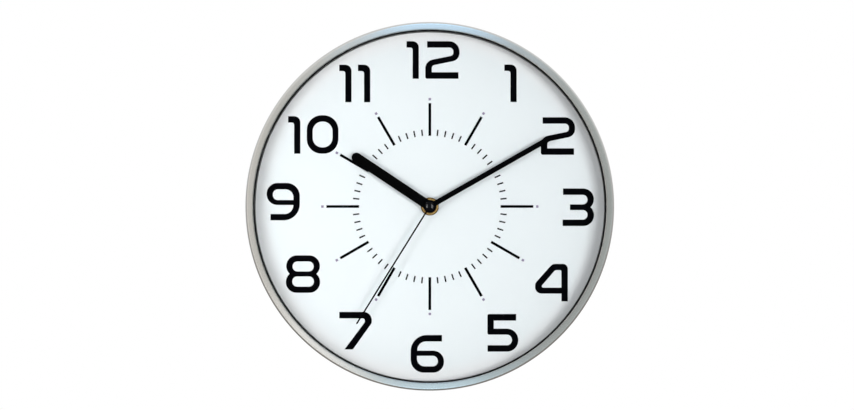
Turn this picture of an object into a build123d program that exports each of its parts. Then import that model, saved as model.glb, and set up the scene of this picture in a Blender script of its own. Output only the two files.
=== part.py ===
from build123d import *
import math
import os

# A quartz wall clock, modelled lying on its back: X to the right and Y up to twelve o'clock as
# seen from the front, Z out from the wall, which is at zero. Each piece is stood up when it is
# written, so that twelve o'clock is +Z and the front faces -Y. Lengths are in millimetres.
stand_angle = 90

# Fits between pieces.
press_gap = 0.02
run_gap = 0.05

# Metal ring with a flat front lip.
ring_r = 150.0
ring_wall = 2.0
ring_edge_r = 1.0
lip_w = 6.2
lip_t = 2.0

# Screw bosses inside the ring, and the screws.
screw_count = 6
screw_inset = 1.8
screw_r = 1.0
screw_hole_gap = 0.3
screw_head_r = 2.3
screw_head_h = 1.4
screw_head_rear_z = 0.5
screw_tip_gap = 1.0
counterbore_gap = 0.2
driver_slot = 0.6
driver_span = 2.8
driver_depth = 0.7
boss_wall = 1.6
boss_root = 0.5
boss_h = 12.5
boss_gap = 0.2
pilot_skin = 1.5

# Rear case: a wall tube with a rim at the back, a floor half way, ribs and a movement fence.
rim_step = 0.6
rim_front_z = 3.5
tube_wall = 1.1
floor_t = 2.0
fence_gap = 0.4
fence_wall = 1.2
fence_h = 3.0
rib_count = 8
rib_wall = 1.2
rib_h = 4.0
rib_fence_gap = 4.0
rib_ring_gap = 12.0

# Hanger box with a keyhole.
hanger_half_w = 15.0
hanger_h = 36.0
hanger_gap = 16.3
hanger_wall = 2.0
hanger_rear_z = 0.6
keyhole_r = 5.0
keyhole_inset = 12.0
keyslot_half_w = 2.2
keyslot_len = 12.0

# Glass, seal and dial.
lens_gap = 0.4
lens_t = 2.0
lens_clear = 1.7
seal_inset = 0.3
seal_t = 0.5
dial_gap = 0.4
dial_t = 0.6

# Prints on the dial.
ink = 0.1
hour_count = 12
minute_count = 60
bar_len = 26.8
bar_w = 2.2
tick_inset = 0.2
tick_len = 5.1
tick_w = 1.2
dot_w = 2.0
dot_gap = 3.2
dot_margin = 16.84
numeral_h = 30.72
numeral_margin = 6.54
digit_gap = 5.3

# Figures: outlines added and outlines cut, as corners (x, y, rounding) from the lower left, in
# shares of the numeral height.
glyph_shares = {
    "0": ([[(0, 0, 0.388), (0.84, 0, 0.388), (0.84, 1.024, 0.388), (0, 1.024, 0.388)]],
          [[(0.157, 0.168, 0.255), (0.686, 0.168, 0.255), (0.686, 0.856, 0.255), (0.157, 0.856, 0.255)]]),
    "1": ([[(0, 1, 0), (0.327, 1, 0.165), (0.327, 0, 0), (0.162, 0, 0), (0.162, 0.83, 0.061),
            (0, 0.83, 0)]], []),
    "2": ([[(0.048, 1, 0), (0.912, 1, 0.279), (0.912, 0.503, 0.226), (0.173, 0.351, 0.08),
            (0.173, 0.173, 0), (0.883, 0.173, 0), (0.883, 0, 0), (0, 0, 0.053), (0, 0.471, 0.234),
            (0.745, 0.622, 0.09), (0.745, 0.83, 0.104), (0.048, 0.83, 0)]], []),
    "3": ([[(0.011, 1, 0), (0.832, 1, 0.285), (0.832, 0.425, 0.285), (0.194, 0.425, 0),
            (0.194, 0.575, 0), (0.662, 0.575, 0.125), (0.662, 0.83, 0.125), (0.011, 0.83, 0)],
           [(0, 0, 0), (0.835, 0, 0.285), (0.835, 0.575, 0.285), (0.194, 0.575, 0),
            (0.194, 0.425, 0), (0.662, 0.425, 0.125), (0.662, 0.17, 0.125), (0, 0.17, 0)]], []),
    "4": ([[(0.46, 0.997, 0.16), (0.87, 0.997, 0.133), (0.87, 0, 0), (0.7, 0, 0), (0.7, 0.207, 0),
            (0, 0.207, 0.173), (0, 0.479, 0.133)]],
          [[(0.532, 0.83, 0.08), (0.7, 0.83, 0.035), (0.7, 0.364, 0), (0.13, 0.364, 0.04)]]),
    "5": ([[(0, 1, 0.048), (0.763, 1, 0), (0.763, 0.825, 0), (0.168, 0.825, 0), (0.168, 0.612, 0),
            (0.819, 0.612, 0.3), (0.819, 0, 0.3), (0.003, 0, 0), (0.003, 0.17, 0),
            (0.652, 0.17, 0.136), (0.652, 0.452, 0.136), (0, 0.452, 0.048)]], []),
    "6": ([[(0, 1, 0.425), (0.832, 1, 0), (0.832, 0.83, 0), (0.175, 0.83, 0.234), (0.175, 0.585, 0),
            (0.886, 0.585, 0.287), (0.886, 0, 0.287), (0, 0, 0.346)]],
          [[(0.17, 0.447, 0), (0.723, 0.447, 0.136), (0.723, 0.168, 0.136), (0.17, 0.168, 0.202)]]),
    "7": ([[(0, 0.997, 0), (0.862, 0.997, 0.213), (0.862, 0.7, 0.106), (0.362, 0, 0), (0.138, 0, 0),
            (0.678, 0.723, 0.053), (0.678, 0.825, 0.059), (0, 0.825, 0)]], []),
    "8": ([[(0.011, 0.431, 0.279), (0.904, 0.431, 0.279), (0.904, 0.997, 0.279), (0.011, 0.997, 0.279)],
           [(0, 0, 0.285), (0.91, 0, 0.285), (0.91, 0.575, 0.285), (0, 0.575, 0.285)]],
          [[(0.178, 0.569, 0.13), (0.739, 0.569, 0.13), (0.739, 0.835, 0.13), (0.178, 0.835, 0.13)],
           [(0.17, 0.165, 0.133), (0.745, 0.165, 0.133), (0.745, 0.436, 0.133), (0.17, 0.436, 0.133)]]),
    "9": ([[(0.883, 0, 0.425), (0.104, 0, 0), (0.104, 0.168, 0), (0.71, 0.168, 0.234),
            (0.71, 0.407, 0), (0, 0.407, 0.287), (0, 0.995, 0.287), (0.883, 0.995, 0.346)]],
          [[(0.713, 0.54, 0), (0.165, 0.54, 0.136), (0.165, 0.825, 0.136), (0.713, 0.825, 0.213)]]),
}

# Middles of the numbers, in shares of the circle that they stand on.
number_place_shares = [
    ("12", 0.022, 0.999), ("1", 0.55, 0.84), ("2", 0.873, 0.48), ("3", 1.011, -0.005),
    ("4", 0.828, -0.518), ("5", 0.497, -0.86), ("6", -0.017, -1.003), ("7", -0.506, -0.845),
    ("8", -0.864, -0.46), ("9", -0.999, 0.034), ("10", -0.795, 0.488), ("11", -0.512, 0.839),
]

# Movement case: a back tray with the gear room above the battery bay, and a front plate.
case_corner_r = 3.0
case_wall = 1.2
case_rear_z = 4.5
room_drop = 11.2
notch_half_w = 8.0
notch_drop = 1.2

# Threaded bush, washers and nut on the hands' axis.
bush_wall = 1.05
bush_sleeve_step = 0.1
bush_flange_w = 1.9
bush_flange_t = 0.8
bush_over = 0.4
thread_depth = 0.4
thread_pitch = 0.75
shaft_gap = 0.15
rubber_washer_r = 10.0
rubber_washer_t = 1.0
brass_washer_r = 7.0
brass_washer_t = 0.5
nut_r = 7.35
nut_t = 2.5
nut_edge_r = 1.4
nut_bore_edge_r = 0.4

# Shafts on the hands' axis, from the inside out.
seconds_r = 0.5
cannon_wall = 0.95
hour_tube_wall = 0.95
shaft_over = 0.2
seconds_over = 0.3

# Hands. Rest angles are clockwise from twelve.
hour_angle = 303.7
hour_tip_gap = 8.6
hour_w = 8.0
hour_hub_r = 4.6
hour_gap = 0.5
minute_angle = 60.4
minute_tip_gap = 28.4
minute_w = 4.3
minute_hub_r = 4.9
minute_gap = 0.6
hand_sheet = 0.6
hand_collar_wall = 1.3
hand_collar_h = 0.6
second_angle = 211.9
second_tip_gap = 28.9
second_w = 1.3
second_hub_r = 3.0
second_gap = 0.5
second_sheet = 0.3
second_collar_wall = 0.8
second_collar_h = 0.5
cap_r = 4.1
cap_h = 1.9
cap_skirt = 0.2
cap_socket_gap = 0.1

# Gear teeth. Shares of the module, and the share of the pitch that is tooth.
tooth_share = 0.42
half_pitch_share = 0.5
pressure_angle = math.radians(20)
pinion_tip_share = 0.9
pinion_root_share = 0.75
wheel_tip_share = 0.5
wheel_root_share = 1.15
rotor_teeth, intermediate_teeth = 8, 40
intermediate_leaves, seconds_teeth = 10, 60
seconds_leaves, third_teeth = 8, 64
third_leaves, centre_teeth = 8, 60
cannon_leaves, motion_teeth = 12, 36
motion_leaves, hour_teeth = 10, 40
rotor_module = 0.25
intermediate_module = 0.27
seconds_module = 0.26
cannon_module = 0.42

# Directions from one axis of the train to the next, from three o'clock.
intermediate_angle = 20
rotor_angle = 50
third_angle = 170
motion_angle = 100

# Depths of the wheels and pinions, from the floor of the gear room forwards.
wheel_thick = 0.8
leaf_over = 0.2
wheel_clear = 0.7
seconds_step = 1.8
third_step = 1.6
centre_hub_h = 0.5
motion_step = 1.5
hour_step = 1.3
hour_clear = 0.3
arbor_r = 0.45
motion_arbor_r = 0.8
hub_r = 2.4
pivot_depth = 0.7

# Train plate on four legs.
train_plate_step = 3.6
train_plate_t = 1.2
train_plate_gap = 1.3
train_plate_foot = 0.6
train_plate_high_y = 11.6
train_boss_r = 2.0
train_boss_h = 0.3
leg_r = 1.6
leg_inset = 2.0
leg_right_y = 0.5

# Setting knob on the back end of the motion arbor.
knob_r = 7.0
knob_h = 2.8
knob_gap = 0.2
knob_skin = 0.7
knob_edge_r = 0.5
knob_flutes = 24
knob_flute_r = 0.5

# Step motor: rotor magnet, stator, core, bobbin and winding.
magnet_r = 2.5
magnet_half_h = 1.9
stator_post_r = 1.4
stator_post_h = 4.3
stator_t = 1.0
stator_ring_r = 5.2
stator_hole_gap = 0.5
stator_w = 28.0
stator_gap = 1.4
stator_pad_w = 3.2
stator_pad_over = 2.4
stator_shoulder_drop = 5.0
stator_hip_drop = 7.0
stator_throat_rise = 5.07
stator_toe_drop = 2.63
stator_toe_x = 4.15
coil_rise = 13.77
coil_gap = 1.0
core_half_w = 1.2
core_half_t = 0.6
bobbin_gap = 0.4
bobbin_cheek = 0.8
bobbin_cheek_r = 4.2
bobbin_tube_r = 2.0
winding_gap = 0.4

# Circuit board with its chip and crystal.
board_w = 15.8
board_h = 14.0
board_t = 1.0
board_gap = 0.4
board_post_r = 1.4
board_post_h = 9.2
board_post_inset = 3.0
chip_r = 3.0
chip_h = 1.2
chip_edge_r = 0.9
chip_inset = 6.1
crystal_r = 1.0
crystal_len = 6.0
crystal_inset = 2.4
crystal_end_gap = 3.4

# Battery, size AA, and its two contacts.
cell_r = 7.0
cell_half = 25.25
nub_r = 2.75
nub_len = 1.2
sleeve_t = 0.1
sleeve_rim = 0.6
bay_gap = 0.1
contact_sheet = 0.4
contact_room = 1.55
contact_half_w = 4.5
contact_drop = 5.2
contact_rise = 6.0
lead_w = 2.0
lead_slot_gap = 0.2
bus_inset = 2.0


def polar(distance, degrees, start=(0, 0)):
    angle = math.radians(degrees)
    return (start[0] + distance * math.cos(angle), start[1] + distance * math.sin(angle))


# Radii that follow, from the ring inwards.
ring_inner_r = ring_r - ring_wall
lip_inner_r = ring_r - lip_w
rim_r = ring_r - rim_step
lens_r = ring_inner_r - lens_gap
seal_r = lens_r - seal_inset
seal_inner_r = lip_inner_r + seal_inset
screw_circle_r = ring_inner_r - screw_inset
screw_hole_r = screw_r + screw_hole_gap
counterbore_r = screw_head_r + counterbore_gap
boss_r = screw_r + boss_wall
boss_inner_r = screw_circle_r - boss_r
tube_r = boss_inner_r - boss_gap
tube_inner_r = tube_r - tube_wall
dial_r = tube_inner_r - dial_gap
numeral_circle_r = dial_r - numeral_margin - numeral_h / 2
dot_r = numeral_circle_r - numeral_h / 2 - dot_margin
bar_end_r = dot_r - dot_gap
bar_start_r = bar_end_r - bar_len
tick_start_r = bar_start_r + tick_inset
tick_end_r = tick_start_r + tick_len
hour_len = bar_end_r - hour_tip_gap
minute_len = dial_r - minute_tip_gap
second_len = dial_r - second_tip_gap
hanger_high_y = tube_inner_r - hanger_gap
hanger_low_y = hanger_high_y - hanger_h
keyhole_y = hanger_low_y + keyhole_inset
keyslot_y = keyhole_y + keyslot_len
rib_ring_r = hanger_low_y - rib_ring_gap

# Radii on the hands' axis, from the inside out.
cannon_inner_r = seconds_r + run_gap
cannon_r = cannon_inner_r + cannon_wall
hour_tube_inner_r = cannon_r + run_gap
hour_tube_r = hour_tube_inner_r + hour_tube_wall
bush_bore_r = hour_tube_r + run_gap
thread_root_r = bush_bore_r + bush_wall
thread_r = thread_root_r + thread_depth
bush_sleeve_r = thread_r + bush_sleeve_step
bush_flange_r = bush_sleeve_r + bush_flange_w
shaft_hole_r = thread_r + shaft_gap
nut_bore_r = thread_r + run_gap
hour_collar_r = hour_tube_r + hand_collar_wall
minute_collar_r = cannon_r + hand_collar_wall
second_collar_r = seconds_r + second_collar_wall
cap_socket_r = seconds_r + cap_socket_gap
cap_socket_depth = seconds_over + cap_socket_gap

# Axes of the train.
intermediate_distance = intermediate_module * (intermediate_leaves + seconds_teeth) / 2
rotor_distance = rotor_module * (rotor_teeth + intermediate_teeth) / 2
third_distance = seconds_module * (seconds_leaves + third_teeth) / 2
third_module = 2 * third_distance / (third_leaves + centre_teeth)
motion_distance = cannon_module * (cannon_leaves + motion_teeth) / 2
motion_module = 2 * motion_distance / (motion_leaves + hour_teeth)
hands_axis = (0, 0)
intermediate_axis = polar(intermediate_distance, intermediate_angle)
rotor_axis = polar(rotor_distance, rotor_angle, intermediate_axis)
third_axis = polar(third_distance, third_angle)
motion_axis = polar(motion_distance, motion_angle)

# Depths that follow, from the back of the movement to the front of the ring.
case_floor_z = case_rear_z + case_wall
arbor_rear_z = case_floor_z - pivot_depth
intermediate_z = case_floor_z + wheel_clear
seconds_z = intermediate_z + seconds_step
third_z = seconds_z + third_step
train_plate_rear_z = third_z + train_plate_step
train_tip_z = train_plate_rear_z + train_plate_t
train_boss_z = train_tip_z + train_boss_h
centre_z = train_boss_z + centre_hub_h
motion_z = centre_z + motion_step
hour_z = motion_z + hour_step
motion_leaves_z = hour_z + wheel_thick
plate_rear_z = motion_leaves_z + hour_clear
front_pivot_z = plate_rear_z + pivot_depth
case_front_z = plate_rear_z + case_wall
bush_flange_z = case_front_z - bush_flange_t
floor_rear_z = case_front_z + rubber_washer_t
floor_front_z = floor_rear_z + floor_t
dial_front_z = floor_front_z + dial_t
brass_washer_front_z = dial_front_z + brass_washer_t
nut_front_z = brass_washer_front_z + nut_t
bush_front_z = nut_front_z + bush_over
hour_collar_z = bush_front_z + hour_gap
hour_hand_z = hour_collar_z + hand_collar_h
hour_tube_tip_z = hour_hand_z + hand_sheet + shaft_over
minute_collar_z = hour_tube_tip_z + minute_gap
minute_hand_z = minute_collar_z + hand_collar_h
cannon_tip_z = minute_hand_z + hand_sheet + shaft_over
second_collar_z = cannon_tip_z + second_gap
second_hand_z = second_collar_z + second_collar_h
cap_rear_z = second_hand_z + second_sheet
seconds_tip_z = cap_rear_z + seconds_over
cap_front_z = cap_rear_z + cap_h
tube_front_z = cap_front_z + lens_clear
lens_front_z = tube_front_z + lens_t
lip_rear_z = lens_front_z + seal_t
ring_front_z = lip_rear_z + lip_t
screw_seat_z = screw_head_rear_z + screw_head_h
boss_front_z = rim_front_z + boss_h
pilot_front_z = boss_front_z - pilot_skin
screw_tip_z = pilot_front_z - screw_tip_gap
fence_rear_z = floor_rear_z - fence_h
rib_rear_z = floor_rear_z - rib_h
knob_front_z = case_rear_z - knob_gap
knob_rear_z = knob_front_z - knob_h
knob_socket_z = knob_rear_z + knob_skin
stator_rear_z = case_floor_z + stator_post_h
stator_front_z = stator_rear_z + stator_t
magnet_rear_z = (stator_rear_z + stator_front_z) / 2 - magnet_half_h
magnet_front_z = (stator_rear_z + stator_front_z) / 2 + magnet_half_h
coil_z = stator_front_z + core_half_t
board_rear_z = case_floor_z + board_post_h
board_front_z = board_rear_z + board_t
lead_front_z = board_front_z + lead_w

# Places in the movement: the battery bay below, the coil above, the walls around them.
sleeve_r = cell_r + sleeve_t
cell_z = plate_rear_z - sleeve_r
contact_rear_z = cell_z - contact_drop
contact_front_z = cell_z + contact_rise
notch_front_z = cell_z - notch_drop
room_low_y = -room_drop
bay_high_y = room_low_y - case_wall
cell_y = bay_high_y - bay_gap - sleeve_r
bay_low_y = cell_y - sleeve_r - bay_gap
case_low_y = bay_low_y - case_wall
coil_y = rotor_axis[1] + coil_rise
room_high_y = coil_y + bobbin_cheek_r + coil_gap
case_high_y = room_high_y + case_wall
case_inner = cell_half + contact_room
case_half = case_inner + case_wall
fence_half = case_half + fence_gap
fence_low_y = case_low_y - fence_gap
fence_high_y = case_high_y + fence_gap
fence_reach_y = max(fence_high_y, -fence_low_y)
rib_start_r = math.hypot(fence_half + fence_wall, fence_reach_y + fence_wall) + rib_fence_gap
train_plate_half_w = case_inner - train_plate_gap
train_plate_low_y = room_low_y + train_plate_foot
leg_x = train_plate_half_w - leg_inset
leg_places = [(-leg_x, train_plate_low_y + leg_inset), (leg_x, train_plate_low_y + leg_inset),
              (-leg_x, train_plate_high_y - leg_inset), (leg_x, leg_right_y)]
stator_right_x = case_inner - stator_gap
stator_left_x = stator_right_x - stator_w
stator_posts = [(stator_left_x + stator_pad_w / 2, coil_y), (stator_right_x - stator_pad_w / 2, coil_y)]
bobbin_left_x = stator_left_x + stator_pad_w + bobbin_gap
bobbin_right_x = stator_right_x - stator_pad_w - bobbin_gap
winding_r = bobbin_cheek_r - winding_gap
board_left_x = board_gap - case_inner
board_right_x = board_left_x + board_w
board_high_y = room_high_y - board_gap
board_low_y = board_high_y - board_h
board_post_places = [(board_left_x + board_post_inset, board_high_y - board_post_inset),
                     (board_right_x - board_post_inset, board_high_y - board_post_inset)]
chip_place = ((board_left_x + board_right_x) / 2, board_high_y - chip_inset)
crystal_y = board_low_y + crystal_inset
crystal_right_x = board_right_x - crystal_end_gap
bus_end_x = board_left_x + bus_inset
lead_end_y = board_low_y + contact_half_w


def disc(radius, z0, z1, at=hands_axis):
    return Pos(at[0], at[1], z0) * extrude(Circle(radius), z1 - z0)


def tube(radius, inner, z0, z1, at=hands_axis):
    return Pos(at[0], at[1], z0) * extrude(Circle(radius) - Circle(inner), z1 - z0)


def block(x0, x1, y0, y1, z0, z1):
    return Pos(x0, y0, z0) * Box(x1 - x0, y1 - y0, z1 - z0, align=(Align.MIN, Align.MIN, Align.MIN))


def outline(corners):
    """A face from corners (x, y, rounding)."""
    points = [(x, y) for x, y, rounding in corners]
    return make_face(FilletPolyline(*points, radius=[c[2] for c in corners], close=True))


def turned(corners):
    """A solid turned about the hands' axis from corners (radius, z, rounding)."""
    return revolve(Plane.XZ * outline(corners), Axis.Z)


def around(count, radius, shape, first=0):
    """Copies of a shape set at a radius, each turned with its place."""
    return [Rot(0, 0, first + 360 * n / count) * Pos(radius, 0, 0) * shape for n in range(count)]


def case_slab(z0, z1):
    """The plan of the movement case."""
    plan = RectangleRounded(2 * case_half, case_high_y - case_low_y, case_corner_r)
    return Pos(0, (case_low_y + case_high_y) / 2, z0) * extrude(plan, z1 - z0)


def gear(teeth, module, shares, axis, mate, phase_share, z0, z1):
    """A toothed disc with straight-sided facets on the involute, aimed at its mate's axis."""
    pitch_r = module * teeth / 2
    base_r = pitch_r * math.cos(pressure_angle)
    step = 2 * math.pi / teeth
    radii = [pitch_r - shares[1] * module, pitch_r, pitch_r + shares[0] * module]
    if base_r > radii[0]:
        radii.insert(1, base_r)

    def involute(radius):
        angle = math.acos(min(1, base_r / radius))
        return math.tan(angle) - angle

    half = [tooth_share * step / 2 + involute(pitch_r) - involute(r) for r in radii]
    aim = math.atan2(mate[1] - axis[1], mate[0] - axis[0]) + phase_share * step
    points = []
    for n in range(teeth):
        middle = aim + n * step
        points += [(r * math.cos(middle - h), r * math.sin(middle - h)) for r, h in zip(radii, half)]
        points += [(r * math.cos(middle + h), r * math.sin(middle + h))
                   for r, h in zip(radii[::-1], half[::-1])]
    face = make_face(Polyline(*points, close=True))
    return Pos(axis[0], axis[1], z0) * extrude(face, z1 - z0)


def wheel(teeth, module, axis, mate, z):
    shares = (wheel_tip_share, wheel_root_share)
    return gear(teeth, module, shares, axis, mate, 0, z, z + wheel_thick)


def pinion(teeth, module, axis, mate, wheel_z):
    """Leaves a little deeper than the wheel that they drive, with a gap facing it."""
    shares = (pinion_tip_share, pinion_root_share)
    return gear(teeth, module, shares, axis, mate, half_pitch_share, wheel_z - leaf_over,
                wheel_z + wheel_thick + leaf_over)


def strip(length, width):
    """A hand's blade towards twelve with a round end."""
    half = width / 2
    blade = Pos(0, (length - half) / 2) * Rectangle(width, length - half)
    return blade + Pos(0, length - half) * Circle(half)


def hand(length, width, head_r, sheet, z, collar_r, collar_z, bore, angle):
    """A flat hand with a round hub, on a collar that grips its shaft."""
    plate = Pos(0, 0, z) * extrude(strip(length, width) + Circle(head_r), sheet)
    body = plate + disc(collar_r, collar_z, z) - disc(bore, collar_z, z + sheet)
    return Rot(0, 0, -angle) * body


pieces = {}

# Metal ring: a turned band with a flat front lip and six screw bosses inside.
ring = turned([(ring_inner_r, rim_front_z, 0), (ring_r, rim_front_z, 0),
               (ring_r, ring_front_z, ring_edge_r), (lip_inner_r, ring_front_z, 0),
               (lip_inner_r, lip_rear_z, 0), (ring_inner_r, lip_rear_z, 0)])
boss_band = tube(ring_inner_r + boss_root, boss_inner_r, rim_front_z, boss_front_z)
bosses = Part() + around(screw_count, screw_circle_r, disc(boss_r, rim_front_z, boss_front_z))
pilots = Part() + around(screw_count, screw_circle_r, disc(screw_r + run_gap, rim_front_z,
                                                           pilot_front_z))
pieces["bezel_ring"] = ring + (bosses & boss_band) - pilots

# Rear case: one moulding with a rim, wall tube, floor, ribs and a fence around the movement.
shell = turned([(tube_inner_r, 0, 0), (rim_r, 0, 0), (rim_r, rim_front_z, 0), (tube_r, rim_front_z, 0),
                (tube_r, tube_front_z, 0), (tube_inner_r, tube_front_z, 0)])
floor = disc(tube_inner_r + run_gap, floor_rear_z, floor_front_z)
fence_outer = fence_half + fence_wall
fence = (block(-fence_outer, fence_outer, fence_low_y - fence_wall, fence_high_y + fence_wall,
               fence_rear_z, floor_rear_z)
         - block(-fence_half, fence_half, fence_low_y, fence_high_y, fence_rear_z, floor_rear_z))
rib = block(rib_start_r, tube_inner_r + run_gap, -rib_wall / 2, rib_wall / 2, rib_rear_z, floor_rear_z)
ribs = Part() + around(rib_count, 0, rib, 180 / rib_count)
rib_ring = tube(rib_ring_r + rib_wall / 2, rib_ring_r - rib_wall / 2, rib_rear_z, floor_rear_z)
screw_holes = Part() + around(screw_count, screw_circle_r, disc(counterbore_r, 0, screw_seat_z)
                              + disc(screw_hole_r, 0, rim_front_z))
pieces["rear_case"] = (shell + floor + fence + ribs + rib_ring - screw_holes
                       - disc(shaft_hole_r, floor_rear_z, floor_front_z))

# Hanger box on the back of the floor, with a keyhole in its rear plate for the wall screw.
hanger = (block(-hanger_half_w, hanger_half_w, hanger_low_y, hanger_high_y, hanger_rear_z, floor_rear_z)
          - block(hanger_wall - hanger_half_w, hanger_half_w - hanger_wall,
                  hanger_low_y + hanger_wall, hanger_high_y - hanger_wall,
                  hanger_rear_z + hanger_wall, floor_rear_z))
keyhole = (disc(keyhole_r, 0, hanger_rear_z + hanger_wall, (0, keyhole_y))
           + block(-keyslot_half_w, keyslot_half_w, keyhole_y, keyslot_y, 0, hanger_rear_z + hanger_wall)
           + disc(keyslot_half_w, 0, hanger_rear_z + hanger_wall, (0, keyslot_y)))
pieces["wall_hanger"] = hanger - keyhole

# Six pan-head screws with a crossed slot.
cross = (block(-driver_span / 2, driver_span / 2, -driver_slot / 2, driver_slot / 2,
               screw_head_rear_z, screw_head_rear_z + driver_depth)
         + block(-driver_slot / 2, driver_slot / 2, -driver_span / 2, driver_span / 2,
                 screw_head_rear_z, screw_head_rear_z + driver_depth))
screw = (disc(screw_head_r, screw_head_rear_z, screw_seat_z) + disc(screw_r, screw_seat_z, screw_tip_z)
         - cross)
pieces["case_screws"] = Part() + around(screw_count, screw_circle_r, screw)

# Flat glass on the wall tube, with a seal between it and the lip.
pieces["lens"] = disc(lens_r, tube_front_z, lens_front_z)
pieces["lens_seal"] = tube(seal_r, seal_inner_r, lens_front_z, lip_rear_z)

# Dial sheet and its prints.
pieces["dial"] = tube(dial_r, shaft_hole_r, floor_front_z, dial_front_z)


def printed(face):
    return Pos(0, 0, dial_front_z) * extrude(face, ink)


def figure(name):
    """One figure, standing on its lower left corner."""
    added, cut = [[outline([(numeral_h * x, numeral_h * y, numeral_h * r) for x, y, r in corners])
                   for corners in part] for part in glyph_shares[name]]
    face = Sketch() + added
    for hole in cut:
        face -= hole
    return face


def number(text):
    """The figures of a number side by side about its middle."""
    widths = [numeral_h * max(c[0] for corners in glyph_shares[name][0] for c in corners) for name in text]
    x = -(sum(widths) + digit_gap * (len(text) - 1)) / 2
    faces = []
    for name, width in zip(text, widths):
        faces.append(Pos(x, -numeral_h / 2) * figure(name))
        x += width + digit_gap
    return faces


numerals = []
for text, x_share, y_share in number_place_shares:
    place = Pos(numeral_circle_r * x_share, numeral_circle_r * y_share)
    numerals += [printed(place * face) for face in number(text)]
pieces["numerals"] = Part() + numerals
bar = Rectangle(bar_end_r - bar_start_r, bar_w)
tick = Rectangle(tick_end_r - tick_start_r, tick_w)
pieces["hour_bars"] = Part() + [printed(f) for f in around(hour_count, (bar_start_r + bar_end_r) / 2, bar)]
ticks = around(minute_count, (tick_start_r + tick_end_r) / 2, tick)
per_hour = minute_count // hour_count
pieces["minute_ticks"] = Part() + [printed(f) for n, f in enumerate(ticks) if n % per_hour]
pieces["hour_dots"] = Part() + [printed(f) for f in around(hour_count, dot_r, Rectangle(dot_w, dot_w))]

# Movement case back: the gear room above, with posts, pivot holes and lead slots, and the battery
# bay below it, open to the back, with a finger notch.
bay_side = block(-case_half, case_half, case_low_y, bay_high_y, case_rear_z, plate_rear_z)
pieces["battery_bay"] = ((case_slab(case_rear_z, plate_rear_z) & bay_side)
                         - block(-case_inner, case_inner, bay_low_y, bay_high_y, case_rear_z, plate_rear_z)
                         - block(-notch_half_w, notch_half_w, case_low_y, bay_low_y, case_rear_z,
                                 notch_front_z))
tray = case_slab(case_rear_z, plate_rear_z) - bay_side
tray -= block(-case_inner, case_inner, room_low_y, room_high_y, case_floor_z, plate_rear_z)
for side in (-1, 1):
    slot_edges = sorted((side * case_inner, side * (case_inner - contact_sheet - lead_slot_gap)))
    tray -= block(*slot_edges, bay_high_y, room_low_y, board_front_z - lead_slot_gap, plate_rear_z)
tray += [disc(board_post_r, case_floor_z, board_rear_z, at) for at in board_post_places]
tray += [disc(stator_post_r, case_floor_z, stator_rear_z, at) for at in stator_posts]
for at, radius in ((hands_axis, seconds_r), (intermediate_axis, arbor_r), (rotor_axis, arbor_r),
                   (third_axis, arbor_r)):
    tray -= disc(radius + run_gap, arbor_rear_z, case_floor_z, at)
pieces["movement_back"] = tray - disc(motion_arbor_r + run_gap, case_rear_z, case_floor_z, motion_axis)

# Movement case front plate, with the bush let in from the front.
pieces["movement_front"] = (case_slab(plate_rear_z, case_front_z)
                            - disc(bush_sleeve_r + press_gap, plate_rear_z, case_front_z)
                            - disc(bush_flange_r + press_gap, bush_flange_z, case_front_z)
                            - disc(arbor_r + run_gap, plate_rear_z, front_pivot_z, third_axis)
                            - disc(motion_arbor_r + run_gap, plate_rear_z, front_pivot_z, motion_axis))

# Threaded brass bush: flange, and thread crests shown as rings.
thread_corners = []
for n in range(int((bush_front_z - case_front_z) / thread_pitch)):
    z = case_front_z + n * thread_pitch
    thread_corners += [(thread_root_r, z, 0), (thread_r, z + thread_pitch / 2, 0)]
pieces["threaded_bush"] = turned([(bush_bore_r, plate_rear_z, 0), (bush_sleeve_r, plate_rear_z, 0),
                                  (bush_sleeve_r, bush_flange_z, 0), (bush_flange_r, bush_flange_z, 0),
                                  (bush_flange_r, case_front_z, 0), *thread_corners,
                                  (thread_root_r, bush_front_z, 0), (bush_bore_r, bush_front_z, 0)])
pieces["rubber_washer"] = tube(rubber_washer_r, shaft_hole_r, case_front_z, floor_rear_z)
pieces["brass_washer"] = tube(brass_washer_r, shaft_hole_r, dial_front_z, brass_washer_front_z)
pieces["fixing_nut"] = turned([(nut_bore_r, brass_washer_front_z, 0), (nut_r, brass_washer_front_z, 0),
                               (nut_r, nut_front_z, nut_edge_r),
                               (nut_bore_r, nut_front_z, nut_bore_edge_r)])

# Train plate on four legs, with bearing holes and a boss under the centre wheel.
train_plate = block(-train_plate_half_w, train_plate_half_w, train_plate_low_y, train_plate_high_y,
                    train_plate_rear_z, train_tip_z)
train_plate += disc(train_boss_r, train_tip_z, train_boss_z)
train_plate += [disc(leg_r, case_floor_z, train_plate_rear_z, at) for at in leg_places]
for at, radius in ((intermediate_axis, arbor_r), (rotor_axis, arbor_r), (third_axis, arbor_r),
                   (motion_axis, motion_arbor_r), (hands_axis, seconds_r)):
    train_plate -= disc(radius + run_gap, train_plate_rear_z, train_boss_z, at)
pieces["train_plate"] = train_plate

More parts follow.
